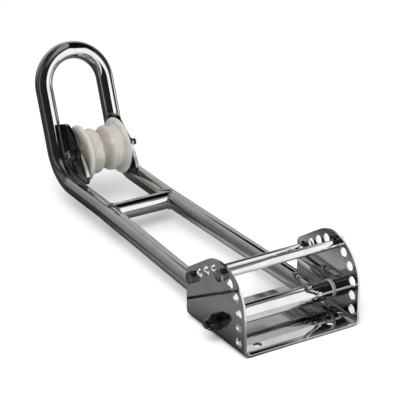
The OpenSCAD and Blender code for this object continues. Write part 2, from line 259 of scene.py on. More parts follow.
def shown(name, bm, body, nodes, material, sharp=35):
    """Turns a bmesh into a piece that rides on a body and stands for CAD nodes."""
    bmesh.ops.recalc_face_normals(bm, faces=bm.faces)
    if bm.calc_volume(signed=True) < 0:
        bmesh.ops.reverse_faces(bm, faces=bm.faces)
    for face in bm.faces:
        face.smooth = True
    for edge in bm.edges:
        edge.smooth = edge.calc_face_angle(math.pi) < math.radians(sharp)
    mesh = bpy.data.meshes.new(name)
    bm.to_mesh(mesh)
    bm.free()
    mesh.materials.append(material)
    piece = bpy.data.objects.new(name, mesh)
    bpy.context.scene.collection.objects.link(piece)
    even = piece.modifiers.new("even_normals", "WEIGHTED_NORMAL")
    even.keep_sharp = True
    even.weight = 60
    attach(piece, body)
    if nodes:
        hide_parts(*nodes)
    return piece


def skin(bm, rings, closed):
    """Joins rings of vertices with faces. A ring of one vertex is a pole."""
    pairs = list(zip(rings, rings[1:]))
    if closed:
        pairs.append((rings[-1], rings[0]))
    for a, b in pairs:
        count = max(len(a), len(b))
        for k in range(count):
            j = (k + 1) % count
            corners = [a[k % len(a)], a[j % len(a)], b[j % len(b)], b[k % len(b)]]
            bm.faces.new(list(dict.fromkeys(corners)))


def revolve(bm, profile, place, shape=None, steps=72, closed=False):
    """Turns (radius, height) points about +Z. shape(turn, radius, height) may change a radius."""
    rings = []
    for radius, height in profile:
        if radius < 1e-6:
            rings.append([bm.verts.new(place @ Vector((0, 0, height)))])
            continue
        ring = []
        for k in range(steps):
            turn = 2 * math.pi * k / steps
            r = shape(turn, radius, height) if shape else radius
            ring.append(bm.verts.new(place @ Vector((r * math.cos(turn), r * math.sin(turn), height))))
        rings.append(ring)
    skin(bm, rings, closed)


def sweep(bm, path, radii, place, steps=48, inner=None, cope=None, closed=False):
    """Runs a circle along a path of points. inner is the bore's radius, cope(point, way) trims the ends."""
    count = len(path)
    ways = []
    for i in range(count):
        before = path[i - 1] if closed or i else path[i]
        after = path[(i + 1) % count] if closed or i < count - 1 else path[i]
        ways.append((after - before).normalized())
    side = ways[0].orthogonal().normalized()
    frames = []
    for i, way in enumerate(ways):
        if i:
            side = ways[i - 1].rotation_difference(way) @ side
        frames.append((path[i], side.copy(), way.cross(side)))

    def ring(i, radius):
        centre, u, v = frames[i]
        points = []
        for k in range(steps):
            turn = 2 * math.pi * k / steps
            point = centre + radius * (math.cos(turn) * u + math.sin(turn) * v)
            if cope and i in (0, count - 1):
                point = cope(point, ways[i])
            points.append(bm.verts.new(place @ point))
        return points

    outer = [ring(i, radii[i] if isinstance(radii, list) else radii) for i in range(count)]
    if inner:
        bore = [ring(i, inner) for i in range(count)]
        skin(bm, outer + bore[::-1], True)
    else:
        skin(bm, outer, closed)
    return outer


def plate(bm, outline, holes, thickness, place, rounding=EDGE_ROUND, cuts=()):
    """Flat plate with rounded edges in (u, v), w through its thickness. place() moves a point.
    cuts are values of v where the plate gets extra edges so that it can be folded."""
    quarter = [math.radians(a) for a in (0, 30, 60, 90)]
    curve = [(rounding * (1 - math.cos(a)), thickness / 2 - rounding * (1 - math.sin(a))) for a in quarter]
    rows = [(inset, -height) for inset, height in reversed(curve)] + curve
    loops = []
    for points in [outline] + holes:
        area = sum(a.x * b.y - b.x * a.y for a, b in zip(points, points[1:] + points[:1]))
        ccw = points if area > 0 else points[::-1]
        loops.append(ccw if points is outline else ccw[::-1])
    caps = {0: [], len(rows) - 1: []}
    for points in loops:
        inward = []
        for i, point in enumerate(points):
            a = (point - points[i - 1]).normalized()
            b = (points[(i + 1) % len(points)] - point).normalized()
            na, nb = Vector((-a.y, a.x)), Vector((-b.y, b.x))
            miter = (na + nb).normalized()
            inward.append(miter / max(0.3, miter.dot(na)))
        rings = []
        for inset, height in rows:
            ring = []
            for point, way in zip(points, inward):
                p = point + inset * way
                ring.append(bm.verts.new(Vector((p.x, p.y, height))))
            rings.append(ring)
        skin(bm, rings, False)
        for end in caps:
            caps[end].append(rings[end])
    for rings in caps.values():
        verts = [v for ring in rings for v in ring]
        for triangle in tessellate_polygon([[v.co for v in ring] for ring in rings]):
            bm.faces.new([verts[i] for i in triangle])
    bmesh.ops.dissolve_limit(bm, angle_limit=math.radians(0.5), verts=bm.verts, edges=bm.edges)
    for value in cuts:
        geometry = bm.verts[:] + bm.edges[:] + bm.faces[:]
        bmesh.ops.bisect_plane(bm, geom=geometry, dist=1e-4, plane_co=(0, value, 0), plane_no=(0, 1, 0))
    for vert in bm.verts:
        vert.co = MM * place(vert.co)


def hexagon(flat):
    """Shape for revolve: flats at that distance from the axis."""
    def shape(turn, radius, height):
        off = (turn + math.pi / 6) % (math.pi / 3) - math.pi / 6
        return min(radius, flat / math.cos(off))
    return shape


def hex_profile(flat, height, start=0.0):
    """Outer profile of a hexagon block with its upper corners chamfered."""
    corner = flat / math.cos(math.pi / 6)
    top = HEX_TOP_SHARE * flat
    drop = (corner - top) * math.tan(math.pi / 6)
    chamfer = [(corner + (top - corner) * i / 6, start + height - drop + drop * i / 6) for i in range(7)]
    return [(flat * 0.97, start), (corner - 0.25, start + 0.05), (corner, start + 0.35)] + chamfer


def thread_profile(radius, low, high, pitch):
    """Rows close enough together to carry a thread."""
    count = int((high - low) / pitch * 8)
    return [(radius, low + (high - low) * i / count) for i in range(count + 1)]


def threaded(size, spans, other=None):
    """Shape for revolve: a rounded V thread between the heights in spans."""
    depth = 0.55 * size["pitch"]

    def shape(turn, radius, height):
        for low, high in spans:
            if low <= height <= high and abs(radius - size["r"]) < 0.01:
                phase = (height / size["pitch"] - turn / (2 * math.pi)) % 1
                fade = min(1, (height - low) / size["pitch"], (high - height) / size["pitch"])
                return radius - depth * fade * min(1, 1.25 * abs(2 * phase - 1))
        return other(turn, radius, height) if other else radius
    return shape


# ---------------------------------------------------------------- materials

def new_material(name):
    material = bpy.data.materials.new(name)
    material.use_nodes = True
    nodes = material.node_tree.nodes
    return material, nodes, material.node_tree.links, nodes["Principled BSDF"]


def noise(nodes, links, coords, scale, stretch=(1, 1, 1), detail=4.0):
    """Noise in object space, its features stretched where a factor is small."""
    mapping = nodes.new("ShaderNodeMapping")
    mapping.inputs["Scale"].default_value = stretch
    texture = nodes.new("ShaderNodeTexNoise")
    texture.inputs["Scale"].default_value = scale
    texture.inputs["Detail"].default_value = detail
    links.new(coords, mapping.inputs["Vector"])
    links.new(mapping.outputs["Vector"], texture.inputs["Vector"])
    return texture.outputs["Fac"]


def ramp(nodes, links, value, stops):
    """Colour ramp through (position, grey or colour) stops."""
    node = nodes.new("ShaderNodeValToRGB")
    elements = node.color_ramp.elements
    while len(elements) < len(stops):
        elements.new(0.5)
    for element, (position, colour) in zip(elements, stops):
        element.position = position
        element.color = (colour,) * 3 + (1,) if isinstance(colour, (int, float)) else tuple(colour) + (1,)
    links.new(value, node.inputs["Fac"])
    return node.outputs["Color"]


def remap(nodes, links, value, low, high, to_low=0, to_high=1, smooth=False):
    """Value carried from low..high to to_low..to_high, and held there beyond."""
    node = nodes.new("ShaderNodeMapRange")
    if smooth:
        node.interpolation_type = "SMOOTHSTEP"
    for label, number in (("From Min", low), ("From Max", high), ("To Min", to_low), ("To Max", to_high)):
        node.inputs[label].default_value = number
    links.new(value, node.inputs["Value"])
    return node.outputs["Result"]


def bump(nodes, links, height, strength, distance, after=None):
    node = nodes.new("ShaderNodeBump")
    node.inputs["Strength"].default_value = strength
    node.inputs["Distance"].default_value = distance
    links.new(height, node.inputs["Height"])
    if after:
        links.new(after, node.inputs["Normal"])
    return node.outputs["Normal"]


def steel(name, light, dark, rough, grain, wave=0.25, scratches=0.05, patches=(0.3, 0.62), patch_scale=45):
    """Polished stainless steel: polishing lines along the grain, faint waves, dark patches, dulled spots."""
    material, nodes, links, shader = new_material(name)
    coords = nodes.new("ShaderNodeTexCoord").outputs["Object"]
    shader.inputs["Metallic"].default_value = 1
    smudge = noise(nodes, links, coords, patch_scale, detail=5)
    tone = ramp(nodes, links, smudge, [(patches[0], dark), (patches[1], light)])
    links.new(tone, shader.inputs["Base Color"])
    haze = noise(nodes, links, coords, 18, detail=6)
    dulled = ramp(nodes, links, haze, [(0.35, rough), (0.7, rough * 2.2)])
    links.new(dulled, shader.inputs["Roughness"])
    ripples = noise(nodes, links, coords, 30, detail=1)
    lines = noise(nodes, links, coords, 900, grain, detail=3)
    first = bump(nodes, links, ripples, wave, 0.0004)
    links.new(bump(nodes, links, lines, scratches, 0.00004, first), shader.inputs["Normal"])
    return material


def nylon(name, light, dark, rough, axis_at=None):
    """Satin nylon with lathe lines round its axis, faint blotches, and painted shade with some grime in the
    low places.
    """
    material, nodes, links, shader = new_material(name)
    coords = nodes.new("ShaderNodeTexCoord").outputs["Object"]
    blotch = noise(nodes, links, coords, 55, detail=6)
    tone = ramp(nodes, links, blotch, [(0.3, dark), (0.65, light)])
    shader.inputs["IOR"].default_value = 1.5
    shader.inputs["Specular IOR Level"].default_value = 0.85
    shader.inputs["Subsurface Weight"].default_value = 0.35
    shader.inputs["Subsurface Radius"].default_value = (1.0, 0.75, 0.5)
    shader.inputs["Subsurface Scale"].default_value = 0.004
    dulled = ramp(nodes, links, blotch, [(0.3, rough), (0.7, rough * 1.35)])
    links.new(dulled, shader.inputs["Roughness"])
    fine = noise(nodes, links, coords, 1400, (0.05, 1, 0.05), detail=2)
    links.new(bump(nodes, links, fine, 0.25, 0.00008), shader.inputs["Normal"])
    if axis_at is not None:
        # Painted shade and grime by distance from the axis: darkest in the middle groove, and some in the
        # corner outside each ridge, where shade falls
        offset = nodes.new("ShaderNodeVectorMath")
        offset.operation = "SUBTRACT"
        offset.inputs[1].default_value = axis_at * MM
        links.new(coords, offset.inputs[0])
        flat = nodes.new("ShaderNodeVectorMath")
        flat.operation = "MULTIPLY"
        flat.inputs[1].default_value = (1, 0, 1)
        links.new(offset.outputs[0], flat.inputs[0])
        length = nodes.new("ShaderNodeVectorMath")
        length.operation = "LENGTH"
        links.new(flat.outputs[0], length.inputs[0])
        spread = remap(nodes, links, length.outputs["Value"], ROLLER_GROOVE_R * MM, ROLLER_RIM_R * MM)
        groove_shade_and_grime = ramp(nodes, links, spread,
                    [(0.0, (0.6, 0.54, 0.45)), (0.3, (0.82, 0.79, 0.73)), (0.42, (0.97, 0.96, 0.94)),
                     (0.5, (0.8, 0.76, 0.69)), (0.7, (0.97, 0.96, 0.94)), (1.0, (1, 1, 1))])
        mix = nodes.new("ShaderNodeMix")
        mix.data_type = "RGBA"
        mix.blend_type = "MULTIPLY"
        mix.inputs["Factor"].default_value = 1
        links.new(tone, mix.inputs["A"])
        links.new(groove_shade_and_grime, mix.inputs["B"])
        tone = mix.outputs["Result"]
    links.new(tone, shader.inputs["Base Color"])
    return material


bracket_steel = steel("bracket_steel", 0.68, 0.6, 0.045, (1, 1, 0.04), wave=0.12)
tube_steel = steel("tube_steel", 0.78, 0.68, 0.035, (0.04, 1, 1))
rod_steel = steel("rod_steel", 0.74, 0.66, 0.035, (1, 0.04, 1))
# Painted shade: the roller plates' deep dark patches stand in for dark reflections, over a random tone
plate_steel = steel("plate_steel", 0.72, 0.24, 0.05, (0.04, 1, 1), wave=0.7, patches=(0.42, 0.66))
# Painted shade: the bolts', nuts', washers' and stud's dark tone stands in for the dark reflections they show
fastener_steel = steel("fastener_steel", 0.55, 0.09, 0.12, (1, 0.2, 1), wave=0.6, scratches=0.12,
                       patches=(0.42, 0.7), patch_scale=90)
# Painted highlight: a lighter copy of the fastener steel, its bright tone standing in for the light the
# roller nuts reflect
lit_fastener_steel = steel("lit_fastener_steel", 0.92, 0.4, 0.1, (1, 0.2, 1), wave=0.6, scratches=0.12,
                     patches=(0.4, 0.62), patch_scale=90)
weld_steel = steel("weld_steel", 0.74, 0.56, 0.14, (1, 1, 1), wave=0.8, scratches=0.2)
roller_nylon = nylon("roller_nylon", (0.56, 0.55, 0.525), (0.455, 0.44, 0.412), 0.22, AXLE)
bush_nylon = nylon("bush_nylon", (0.56, 0.555, 0.54), (0.47, 0.465, 0.45), 0.4)
insert_nylon = nylon("insert_nylon", (0.8, 0.79, 0.74), (0.7, 0.68, 0.62), 0.45)


# ---------------------------------------------------------------- bracket

def adjust_hole(n):
    """Centre of adjusting hole n in (x, z)."""
    crown_r = ADJUST_ARC_R + ADJUST_MARGIN
    slope = Vector((math.cos(CHEEK_SLOPE), math.sin(CHEEK_SLOPE)))
    back = BRACKET_L - crown_r
    centre = Vector((back, CHEEK_FRONT_H + back * math.tan(CHEEK_SLOPE) - crown_r / math.cos(CHEEK_SLOPE)))
    arc_start = centre + ADJUST_ARC_R * Vector((-math.sin(CHEEK_SLOPE), math.cos(CHEEK_SLOPE)))
    turn = math.pi / 2 + CHEEK_SLOPE
    past = (n - 1) * ADJUST_PITCH - (arc_start.x - ADJUST_START) / math.cos(CHEEK_SLOPE)
    angle = turn - past / ADJUST_ARC_R
    if past < 0:
        p = arc_start + past * slope
    elif angle > 0:
        p = centre + ADJUST_ARC_R * Vector((math.cos(angle), math.sin(angle)))
    else:
        p = centre + Vector((ADJUST_ARC_R, ADJUST_ARC_R * turn - past))
    return Vector((BRACKET_HIGH.x - p.x, p.y))


FOLD_OUT = FOLD_R + PLATE_T
FOLD_MID = FOLD_R + PLATE_T / 2
BASE_HALF = BRACKET_W / 2 - FOLD_OUT
FOLD_RUN = FOLD_MID * math.pi / 2


def unfolded(height):
    """How far across the flat blank a height on a cheek lies."""
    return BASE_HALF + FOLD_RUN + height - FOLD_OUT


def folded(p):
    """Point of the flat blank, with p.z through the plate, after folding."""
    side = 1 if p.y > 0 else -1
    across = abs(p.y)
    if across <= BASE_HALF:
        return Vector((p.x, p.y, PLATE_T / 2 + p.z))
    if across <= BASE_HALF + FOLD_RUN:
        angle = (across - BASE_HALF) / FOLD_MID
        reach = FOLD_MID - p.z
        return Vector((p.x, side * (BASE_HALF + reach * math.sin(angle)), FOLD_OUT - reach * math.cos(angle)))
    return Vector((p.x, side * (BASE_HALF + FOLD_MID - p.z), FOLD_OUT + across - BASE_HALF - FOLD_RUN))


def build_bracket():
    out_x, in_x = BRACKET_HIGH.x, BRACKET_LOW.x
    front = unfolded(CHEEK_FRONT_H)
    peak = unfolded(CHEEK_FRONT_H + BRACKET_L * math.tan(CHEEK_SLOPE))
    crown_r = ADJUST_ARC_R + ADJUST_MARGIN
    corners = [(out_x, front), (in_x, peak), (in_x, -peak), (out_x, -front)]
    outline = rounded(corners, [CHEEK_NOSE_R, crown_r, crown_r, CHEEK_NOSE_R], steps=32)
    holes = []
    for side in (-1, 1):
        for n in range(1, ADJUST_COUNT + 1):
            centre = adjust_hole(n)
            holes.append(circle((centre.x, side * unfolded(centre.y)), ADJUST_HOLE_R, 48))
        holes.append(circle((HINGE.x, side * unfolded(HINGE.z)), PIVOT_HOLE_R, 48))
        for x in (-DECK_HOLE_X, DECK_HOLE_X):
            holes.append(circle((x, side * DECK_HOLE_Y), DECK_HOLE_R, 48))
    folds = [side * (BASE_HALF + FOLD_RUN * i / 12) for side in (-1, 1) for i in range(13)]
    bm = bmesh.new()
    plate(bm, outline, holes, PLATE_T, folded, cuts=folds)
    shown("bracket_plate", bm, "bracket", ["base_bracket"], bracket_steel)


build_bracket()


# ---------------------------------------------------------------- frame

def straight(start, way, length, count=2):
    return [start + way * length * i / count for i in range(1, count + 1)]


def turned(path, way, axis, angle, radius, step=math.radians(3)):
    """Adds a bend about axis to the path and returns the new heading."""
    centre = path[-1] + axis.cross(way) * radius
    arm = path[-1] - centre
    count = max(2, math.ceil(angle / step))
    for i in range(1, count + 1):
        path.append(centre + Matrix.Rotation(angle * i / count, 3, axis) @ arm)
    return Matrix.Rotation(angle, 3, axis) @ way


def frame_path():
    """Centre line of the port arm, leg and half the hoop, in frame coordinates."""
    splay = math.atan((ARM_SPREAD - ARM_Y) / KINK_AT)
    kink_run = KINK_R * math.tan(splay / 2)
    bend_run = LEG_BEND_R * math.tan(LEG_ANGLE / 2)
    start = Vector((0, ARM_SPREAD, 0))
    way = Vector((KINK_AT, ARM_Y - ARM_SPREAD, 0)).normalized()
    path = [start]
    path += straight(start, way, KINK_AT / math.cos(splay) - kink_run, 24)
    way = turned(path, way, Vector((0, 0, 1)), splay, KINK_R, math.radians(0.5))
    way = Vector((1, 0, 0))
    path += straight(path[-1], way, CORNER_AT - bend_run - path[-1].x, 8)
    way = turned(path, way, Vector((0, -1, 0)), LEG_ANGLE, LEG_BEND_R)
    path += straight(path[-1], way, LEG_L - bend_run, 6)
    turned(path, way, way.cross(Vector((0, -1, 0))), math.pi / 2, ARM_Y)
    return path


def to_hinge_tube(point, way):
    """Slides a point along the tube onto the hinge tube's skin."""
    target = math.sqrt(max(0, TUBE_R ** 2 - point.z ** 2))
    return point + way * (target - point.x) / way.x


def to_arm(point, way):
    """Slides a point along the crossbar onto the arm's skin."""
    target = arm_line(point.x) - math.sqrt(max(0, TUBE_R ** 2 - point.z ** 2))
    side = 1 if point.y > 0 else -1
    return Vector((point.x, side * target, point.z))


def arm_line(x):
    """Distance of an arm's centre line from the middle at x, in frame coordinates."""
    return ARM_SPREAD + (ARM_Y - ARM_SPREAD) * min(1, x / KINK_AT)


PORT_HALF = frame_path()
WHOLE_PATH = PORT_HALF + [Vector((p.x, -p.y, p.z)) for p in PORT_HALF[-2::-1]]

bm = bmesh.new()
sweep(bm, WHOLE_PATH, TUBE_R, ROW @ FRAME, steps=64, inner=TUBE_BORE_R, cope=to_hinge_tube)
shown("bent_tube", bm, "frame", ["frame_tube"], tube_steel)

bm = bmesh.new()
crossbar_path = [Vector((CROSSBAR_AT, ARM_Y * i / 8, 0)) for i in range(-8, 9)]
sweep(bm, crossbar_path, TUBE_R, ROW @ FRAME, steps=64, inner=TUBE_BORE_R, cope=to_arm)
shown("cross_tube", bm, "frame", ["crossbar"], tube_steel)

bm = bmesh.new()
revolve(bm, ring_profile(TUBE_BORE_R, TUBE_R, -HINGE_TUBE_HALF, HINGE_TUBE_HALF, 0.4),
        ROW @ Matrix.Translation(HINGE) @ TO_PORT, closed=True)
shown("pivot_tube", bm, "frame", ["hinge_tube"], rod_steel)


def weld(name, path, closed=False):
    """Rippled weld bead along a path in frame coordinates."""
    bm = bmesh.new()
    run, radii = 0, []
    for i, point in enumerate(path):
        run += (point - path[i - 1]).length if i else 0
        ripple = abs(math.sin(math.pi * run / WELD_RIPPLE))
        end = 1 if closed else min(1, 0.45 + 0.3 * min(i, len(path) - 1 - i))
        radii.append(WELD_R * end * (0.84 + 0.16 * ripple))
    sweep(bm, path, radii, ROW @ FRAME, steps=12, closed=closed)
    if not closed:
        ends = [e for e in bm.edges if len(e.link_faces) == 1]
        bmesh.ops.holes_fill(bm, edges=ends)
    shown(name, bm, "frame", [], weld_steel, sharp=80)


def dense(path, step=0.35):
    """The same path with a point every step."""
    points = [path[0]]
    for a, b in zip(path, path[1:]):
        count = max(1, round((b - a).length / step))
        points += [a + (b - a) * i / count for i in range(1, count + 1)]
    return points


def plate_corner(side_y):
    """Line where a roller plate's face at side_y meets the arm and leg, in frame coordinates."""
    lift = math.sqrt(TUBE_R ** 2 - (ARM_Y - side_y) ** 2) if abs(ARM_Y - side_y) < TUBE_R else 0
    foot = Vector((CORNER_AT - lift * math.tan(LEG_ANGLE / 2), lift))
    way = Vector((math.cos(LEG_ANGLE), math.sin(LEG_ANGLE)))
    begin = Vector((ROLLER_AT - PLATE_FOOT, lift))
    end = foot + (PLATE_LEG_L - 1) * way
    flat = [begin] + fillet(begin, foot, end, LEG_BEND_R - lift, 24) + [end]
    return [Vector((p.x, side_y, p.y)) for p in flat]


for side, label in ((1, "port"), (-1, "starboard")):
    saddle = []
    for k in range(SADDLE_STEPS):
        turn = 2 * math.pi * k / SADDLE_STEPS
        z, off = TUBE_R * math.sin(turn), TUBE_R * math.cos(turn)
        x = math.sqrt(max(0, TUBE_R ** 2 - z ** 2))
        saddle.append(Vector((x + WELD_OUT, side * (arm_line(x) + off * WELD_SPREAD), z * WELD_SPREAD)))
    weld(f"{label}_hinge_weld", saddle, closed=True)
    saddle = []
    for k in range(SADDLE_STEPS):
        turn = 2 * math.pi * k / SADDLE_STEPS
        x, z = CROSSBAR_AT + WELD_SPREAD * TUBE_R * math.cos(turn), TUBE_R * math.sin(turn)
        y = arm_line(x) - math.sqrt(max(0, TUBE_R ** 2 - z ** 2))
        saddle.append(Vector((x, side * (y - WELD_OUT), z * WELD_SPREAD)))
    weld(f"{label}_crossbar_weld", saddle, closed=True)
    for face, y in (("inner", PLATE_INNER_Y), ("outer", PLATE_OUTER_Y)):
        line = [Vector((p.x, side * p.y, p.z)) for p in plate_corner(y)]
        weld(f"{label}_plate_{face}_weld", dense(line))


def build_roller_plate(side, label):
    lift = math.sqrt(TUBE_R ** 2 - (ARM_Y - PLATE_OUTER_Y) ** 2)
    axle = Vector((ROLLER_AT, ROLLER_UP))
    foot = Vector((CORNER_AT - lift * math.tan(LEG_ANGLE / 2), lift))
    up_leg = Vector((math.cos(LEG_ANGLE), math.sin(LEG_ANGLE)))
    corners = [Vector((ROLLER_AT - PLATE_FOOT, lift)), axle + PLATE_BACK, axle + PLATE_SHOULDER,
               axle + PLATE_PEAK, foot + PLATE_LEG_L * up_leg, foot]
    radii = [PLATE_END_R, PLATE_BACK_R, PLATE_SHOULDER_R, PLATE_PEAK_R, PLATE_END_R, LEG_BEND_R - lift]
    outline = rounded(corners, radii, steps=24)
    hole = circle(axle, M8["r"] + PLATE_HOLE_PLAY, 48)
    middle = side * (PLATE_INNER_Y + PLATE_OUTER_Y) / 2
    bm = bmesh.new()
    plate(bm, outline, [hole], PLATE_OUTER_Y - PLATE_INNER_Y,
          lambda p: FRAME @ Vector((p.x, middle - p.z, p.y)))
    shown(f"{label}_side_plate", bm, "frame", [f"{label}_roller_plate"], plate_steel)


build_roller_plate(1, "port")
build_roller_plate(-1, "starboard")


# ---------------------------------------------------------------- roller

def build_roller():
    knots = [(0, ROLLER_GROOVE_R), (ROLLER_RIDGE_AT, ROLLER_RIDGE_R),
             (ROLLER_FLANGE_AT, ROLLER_RIDGE_R - ROLLER_RIDGE_FALL),
             (ROLLER_HALF_W - RIM_ROUND, ROLLER_RIM_R)]
    half = []
    for (y0, r0), (y1, r1) in zip(knots, knots[1:]):
        for i in range(WAVE_STEPS):
            share = i / WAVE_STEPS
            rise = (1 - math.cos(math.pi * share)) / 2
            half.append(Vector((r0 + (r1 - r0) * rise, y0 + (y1 - y0) * share)))
    half += arc(Vector((ROLLER_RIM_R - RIM_ROUND, ROLLER_HALF_W - RIM_ROUND)), RIM_ROUND, 0, math.pi / 2, 10)
    # A shallow turned recess in each end face, and a chamfered bore
    recess_r, recess_y = ROLLER_RIM_R - RECESS_RIM, ROLLER_HALF_W - RECESS_DEPTH
    half += [Vector((r, y)) for r, y in (
        (recess_r, ROLLER_HALF_W), (recess_r - RECESS_SLOPE, recess_y),
        (RECESS_CORE_R + RECESS_SLOPE, recess_y), (RECESS_CORE_R, ROLLER_HALF_W),
        (ROLLER_BORE_R + BORE_CHAMFER, ROLLER_HALF_W), (ROLLER_BORE_R, ROLLER_HALF_W - BORE_CHAMFER))]
    profile = [Vector((p.x, -p.y)) for p in half[:0:-1]] + half
    bm = bmesh.new()
    revolve(bm, profile, ROW @ Matrix.Translation(AXLE) @ TO_PORT, steps=160, closed=True)
    shown("grooved_roller", bm, "roller", ["roller"], roller_nylon)


build_roller()


# ---------------------------------------------------------------- fasteners

def build_bolt(name, body, node, size, length, place, thread_l):
    """Hexagon bolt, the underside of its head at height 0 and its shank towards -Z."""
    bm = bmesh.new()
    tip = -length - BOLT_TIP
    spans = [(-length, -length + thread_l)]
    profile = [(0, tip), (size["r"] - BOLT_TIP, tip)]
    profile += thread_profile(size["r"], -length, -length + thread_l, size["pitch"])
    profile += [(size["r"], 0)] + hex_profile(size["flat"], size["head"])
    top = size["head"] + 0.02
    profile += [(HEX_TOP_SHARE * size["flat"] - 0.5, top), (0, top)]
    revolve(bm, profile, ROW @ place, threaded(size, spans, hexagon(size["flat"])), steps=96)
    shown(name, bm, body, [node], fastener_steel, sharp=28)


def build_washers(name, body, node, size, places):
    bm = bmesh.new()
    ring = ring_profile(size["r"] + WASHER_PLAY, size["washer_r"], 0, size["washer_t"], 0.3)
    for place in places:
        revolve(bm, ring, ROW @ place, closed=True)
    shown(name, bm, body, [node], fastener_steel)


def build_lock_nuts(name, body, node, size, places, material=fastener_steel):
    """Self-locking nuts: a hexagon with a rounded collar, open through the middle."""
    bm = bmesh.new()
    hex_h, height, bore = size["nut"] * NUT_HEX_SHARE, size["nut"], size["r"] + THREAD_PLAY
    collar, pocket = size["flat"] * COLLAR_SHARE, size["flat"] * POCKET_SHARE
    lip, floor = size["r"] + 0.7, height - POCKET_DEPTH
    outside = [(collar + 0.3, hex_h + 0.02), (collar, hex_h + 0.25), (collar, height - 1.1),
               (collar - 0.3, height - 0.4), (collar - 1.2, height)]
    mouth = [(lip + 0.2, height), (lip, height - 0.2), (lip, height - 0.8)]
    inside = [(pocket, height - LIP_T), (pocket, floor), (bore, floor), (bore, 0.5), (bore + 0.5, 0)]
    profile = hex_profile(size["flat"], hex_h) + outside + mouth + inside
    for place in places:
        revolve(bm, profile, ROW @ place, hexagon(size["flat"]), steps=96, closed=True)
    shown(name, bm, body, [node], material, sharp=28)


def build_plain_nuts(name, body, node, size, height, places):
    bm = bmesh.new()
    bore = size["r"] + THREAD_PLAY
    profile = hex_profile(size["flat"], height)
    profile += [(bore + 0.6, height), (bore, height - 0.6), (bore, 0.6), (bore + 0.6, 0)]
    for place in places:
        revolve(bm, profile, ROW @ place, hexagon(size["flat"]), steps=96, closed=True)
    shown(name, bm, body, [node], fastener_steel, sharp=28)


def at(point, height, port=True):
    """Place of a part standing at that distance from the middle, with its +Z pointing outwards."""
    turn = TO_PORT if port else TO_STARBOARD
    return Matrix.Translation(Vector(point)) @ turn @ Matrix.Translation((0, 0, height))


def stop_axis(n):
    centre = adjust_hole(n)
    return Vector((centre.x, 0, centre.y - STOP_DROP))


for name, n in (("outboard", OUTBOARD_HOLE), ("upper", UPPER_HOLE)):
    axis = stop_axis(n)
    build_bolt(f"{name}_long_bolt", "bracket", f"{name}_stop_bolt", M8, STOP_BOLT_L,
               at(axis, BRACKET_W / 2), STOP_THREAD_L)
    bm = bmesh.new()
    half = BRACKET_W / 2 - PLATE_T - TOUCH_GAP
    ring = ring_profile(M8["r"] + STOP_TUBE_PLAY, STOP_TUBE_R, -half, half, 0.25)
    revolve(bm, ring, ROW @ at(axis, 0), closed=True)
    shown(f"{name}_rod_tube", bm, "bracket", [f"{name}_stop_tube"], rod_steel)

stop_ends = [at(stop_axis(n), BRACKET_W / 2, port=False) for n in (OUTBOARD_HOLE, UPPER_HOLE)]
build_plain_nuts("rod_nuts", "bracket", "stop_nuts", M8, PLAIN_NUT_H, stop_ends)

hinge_out = BRACKET_W / 2 + M10["washer_t"]
build_bolt("hinge_bolt", "bracket", "pivot_bolt", M10, PIVOT_BOLT_L,
           at(HINGE, hinge_out, port=False), PIVOT_THREAD_L)
build_washers("hinge_washers", "bracket", "pivot_washers", M10,
              [at(HINGE, BRACKET_W / 2), at(HINGE, BRACKET_W / 2, port=False)])
build_lock_nuts("hinge_nut", "bracket", "pivot_nut", M10, [at(HINGE, hinge_out)])

bm = bmesh.new()
spans = [(-STUD_L / 2, -STUD_L / 2 + STUD_THREAD_L), (STUD_L / 2 - STUD_THREAD_L, STUD_L / 2)]
stud = [(0, -STUD_L / 2), (M8["r"] - STUD_TIP, -STUD_L / 2)]
stud += thread_profile(M8["r"], *spans[0], M8["pitch"]) + thread_profile(M8["r"], *spans[1], M8["pitch"])
stud += [(M8["r"] - STUD_TIP, STUD_L / 2), (0, STUD_L / 2)]
revolve(bm, stud, ROW @ at(AXLE, 0), threaded(M8, spans), steps=72)
shown("roller_stud", bm, "frame", ["axle_stud"], fastener_steel, sharp=28)
build_washers("roller_washers", "frame", "axle_washers", M8,
              [at(AXLE, PLATE_OUTER_Y), at(AXLE, PLATE_OUTER_Y, port=False)])
axle_out = PLATE_OUTER_Y + M8["washer_t"]
# The roller nuts take the steel copy with the painted highlight
build_lock_nuts("roller_nuts", "frame", "axle_nuts", M8,
                [at(AXLE, axle_out), at(AXLE, axle_out, port=False)], lit_fastener_steel)

# Small turned parts keep their CAD shape and get the detailed materials
for node, material in (("axle_sleeve", rod_steel), ("port_hinge_bush", bush_nylon),
                       ("starboard_hinge_bush", bush_nylon), ("thrust_washers", bush_nylon),
                       ("pivot_nut_insert", insert_nylon), ("axle_nut_inserts", insert_nylon)):
    part = frame["nodes"][node]
    part.data.materials.clear()
    part.data.materials.append(material)


# ---------------------------------------------------------------- studio

def place_of(nodes, links):
    """Node that gives X, Y and Z of the point being shaded, in metres."""
    split = nodes.new("ShaderNodeSeparateXYZ")
    links.new(nodes.new("ShaderNodeNewGeometry").outputs["Position"], split.inputs[0])
    return split


def emitter(name, strength, fade=None):
    """Plain glowing card material. fade is a pair of X values in metres, between which it dies away."""
    material, nodes, links, shader = new_material(name)
    nodes.remove(shader)
    glow = nodes.new("ShaderNodeEmission")
    glow.inputs["Color"].default_value = (1, 1, 1, 1)
    glow.inputs["Strength"].default_value = strength
    if fade:
        x = place_of(nodes, links).outputs["X"]
        links.new(remap(nodes, links, x, *fade, strength, 0, smooth=True), glow.inputs["Strength"])
    links.new(glow.outputs[0], nodes["Material Output"].inputs["Surface"])
    return material


def upright(y, x_low, x_high, z_low, z_high):
    """Corners of an upright card along X."""
    return [(x_low, y, z_low), (x_high, y, z_low), (x_high, y, z_high), (x_low, y, z_high)]


